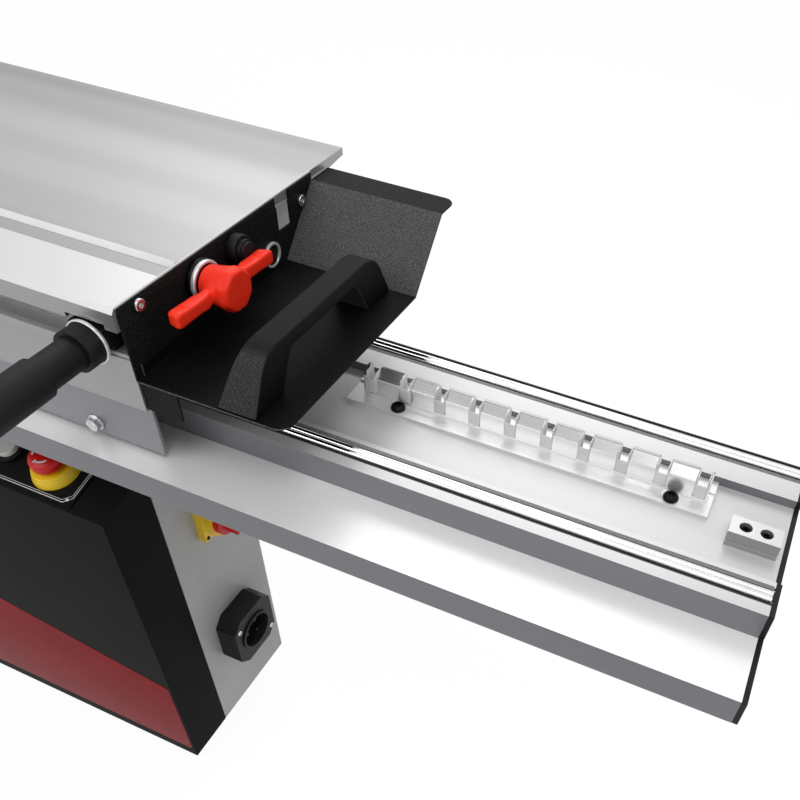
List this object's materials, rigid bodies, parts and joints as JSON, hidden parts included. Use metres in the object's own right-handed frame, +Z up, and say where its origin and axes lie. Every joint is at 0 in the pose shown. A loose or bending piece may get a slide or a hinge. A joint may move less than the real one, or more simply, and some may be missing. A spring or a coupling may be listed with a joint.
{
  "type": "sliding table saw",
  "caption": "Sliding table saw with a long aluminium carriage on a fixed rail, a tilting blade unit, a cast main table, a rip fence and a control panel at the infeed end.",
  "frame": {"origin": "on the floor, in the blade plane under the arbor, at the middle of the four anchor holes", "axes": "+X along the sliding table to the infeed end, +Y away from the operator towards the rip fence, +Z up"},
  "size_m": [3.789, 1.934, 0.956],
  "materials": {
    "deck_aluminium": "brushed",
    "bright_aluminium": "polished",
    "rod_steel": "polished",
    "cast": "ground",
    "dark_cast": "painted",
    "machine_grey": "satin",
    "machine_black": "satin",
    "tray_black": "fine texture",
    "steel": "satin",
    "black_steel": "blacked",
    "black_plastic": "fine texture",
    "red_plastic": "satin",
    "yellow_plastic": "satin",
    "grey_plastic": "satin",
    "rubber_black": "matt"
  },
  "bodies": {
    "frame": {"base_frame": "machine_grey", "front_cover": "machine_black", "control_panel": "machine_black", "estop_collar": "yellow_plastic", "start_bezel": "black_plastic", "isolator_plate": "yellow_plastic", "power_inlet": "black_plastic", "levelling_feet": "black_steel", "cabinet_pan": "machine_grey", "cabinet_walls": "machine_grey", "main_table": "cast", "table_insert": "bright_aluminium", "extension_table": "machine_grey", "fence_bar": "steel", "trunnions": "dark_cast", "base_rail": "bright_aluminium", "guide_rods": "rod_steel", "rail_end_caps": "black_plastic", "rail_brackets": "machine_grey", "comb_bracket": "bright_aluminium", "comb_bar": "bright_aluminium", "comb_screws": "black_steel", "stop_blocks": "bright_aluminium"},
    "estop": {"estop_button": "red_plastic"},
    "start": {"start_button": "grey_plastic"},
    "isolator": {"isolator_knob": "red_plastic"},
    "door": {"cabinet_door": "machine_black"},
    "latch": {"door_latch": "black_plastic"},
    "fence": {"fence_carrier": "dark_cast", "rip_fence": "bright_aluminium"},
    "fence_clamp": {"fence_lever": "red_plastic"},
    "carriage": {"carriage_deck": "deck_aluminium", "carriage_runners": "bright_aluminium", "apron_plate": "bright_aluminium", "apron_bolts": "steel", "end_plate": "tray_black", "end_screws": "black_steel", "tray": "tray_black", "bow_handle": "black_plastic", "latch_bearing": "steel", "bumper": "rubber_black", "push_tube": "rubber_black", "tube_collar": "steel", "travel_stop": "steel"},
    "knob": {"lock_knob": "red_plastic", "latch_shaft": "steel"},
    "pawl": {"latch_pawl": "steel"},
    "cage": {"roller_cages": "black_plastic", "cage_rollers": "rod_steel"},
    "tilt": {"tilt_frame": "dark_cast"},
    "lift": {"lift_carriage": "dark_cast", "riving_knife": "steel", "saw_motor": "dark_cast", "drive_belt": "rubber_black"},
    "arbor": {"saw_arbor": "steel", "blade_nut": "steel", "main_blade": "steel"},
    "motor_shaft": {"motor_pulley": "cast"},
    "tilt_wheel": {"tilt_handwheel": "black_plastic"},
    "lift_wheel": {"lift_handwheel": "black_plastic"}
  },
  "joints": [
    {"name": "carriage_slide", "type": "slide", "parent": "frame", "child": "carriage", "axis": [1, 0, 0], "range_m": [-1.25, 1.85]},
    {"name": "cage_slide", "type": "slide", "parent": "frame", "child": "cage", "axis": [1, 0, 0], "range_m": [-0.625, 0.925]},
    {"name": "knob_turn", "type": "hinge", "parent": "carriage", "child": "knob", "pos_m": [1.62, -0.302, 0.854], "axis": [1, 0, 0], "range_deg": [0, 34]},
    {"name": "pawl_slide", "type": "slide", "parent": "carriage", "child": "pawl", "axis": [0, 0, -1], "range_m": [0, 0.011]},
    {"name": "estop_press", "type": "slide", "parent": "frame", "child": "estop", "axis": [0, 0.2689, -0.9632], "range_m": [0, 0.004]},
    {"name": "start_press", "type": "slide", "parent": "frame", "child": "start", "axis": [0, 0.2689, -0.9632], "range_m": [0, 0.004], "stiffness_N_per_m": 400, "springref_m": -0.001},
    {"name": "isolator_turn", "type": "hinge", "parent": "frame", "child": "isolator", "pos_m": [1.523, -0.272, 0.469], "axis": [1, 0, 0], "range_deg": [0, 90]},
    {"name": "door_swing", "type": "hinge", "parent": "frame", "child": "door", "pos_m": [-0.418, 0.508, 0.45], "axis": [0, 0, 1], "range_deg": [0, 100]},
    {"name": "latch_turn", "type": "hinge", "parent": "door", "child": "latch", "pos_m": [0.39, 0.508, 0.45], "axis": [0, 1, 0], "range_deg": [0, 90]},
    {"name": "fence_slide", "type": "slide", "parent": "frame", "child": "fence", "axis": [0, 1, 0], "range_m": [-0.55, 0.5]},
    {"name": "fence_clamp_turn", "type": "hinge", "parent": "fence", "child": "fence_clamp", "pos_m": [0.501, 0.655, 0.9], "axis": [0, 0, 1], "range_deg": [0, 90]},
    {"name": "tilt_turn", "type": "hinge", "parent": "frame", "child": "tilt", "pos_m": [0, 0, 0.88], "axis": [-1, 0, 0], "range_deg": [0, 45]},
    {"name": "lift_slide", "type": "slide", "parent": "tilt", "child": "lift", "axis": [0, 0, 1], "range_m": [-0.05, 0.03]},
    {"name": "arbor_spin", "type": "hinge", "parent": "lift", "child": "arbor", "pos_m": [0, 0, 0.783], "axis": [0, 1, 0], "continuous": true},
    {"name": "motor_spin", "type": "hinge", "parent": "lift", "child": "motor_shaft", "pos_m": [0, 0, 0.59], "axis": [0, 1, 0], "continuous": true},
    {"name": "tilt_wheel_turn", "type": "hinge", "parent": "frame", "child": "tilt_wheel", "pos_m": [0.476, 0.12, 0.62], "axis": [1, 0, 0], "range_deg": [0, 720]},
    {"name": "lift_wheel_turn", "type": "hinge", "parent": "frame", "child": "lift_wheel", "pos_m": [0.476, 0.33, 0.62], "axis": [1, 0, 0], "range_deg": [-450, 270]}
  ],
  "couplings": [
    {"joint": "cage_slide", "follows": "carriage_slide", "ratio": 0.5},
    {"joint": "pawl_slide", "follows": "knob_turn", "m_per_rad": 0.018537},
    {"joint": "motor_spin", "follows": "arbor_spin", "ratio": 0.66667},
    {"joint": "tilt_wheel_turn", "follows": "tilt_turn", "ratio": 16},
    {"joint": "lift_wheel_turn", "follows": "lift_slide", "rad_per_m": 157}
  ]
}
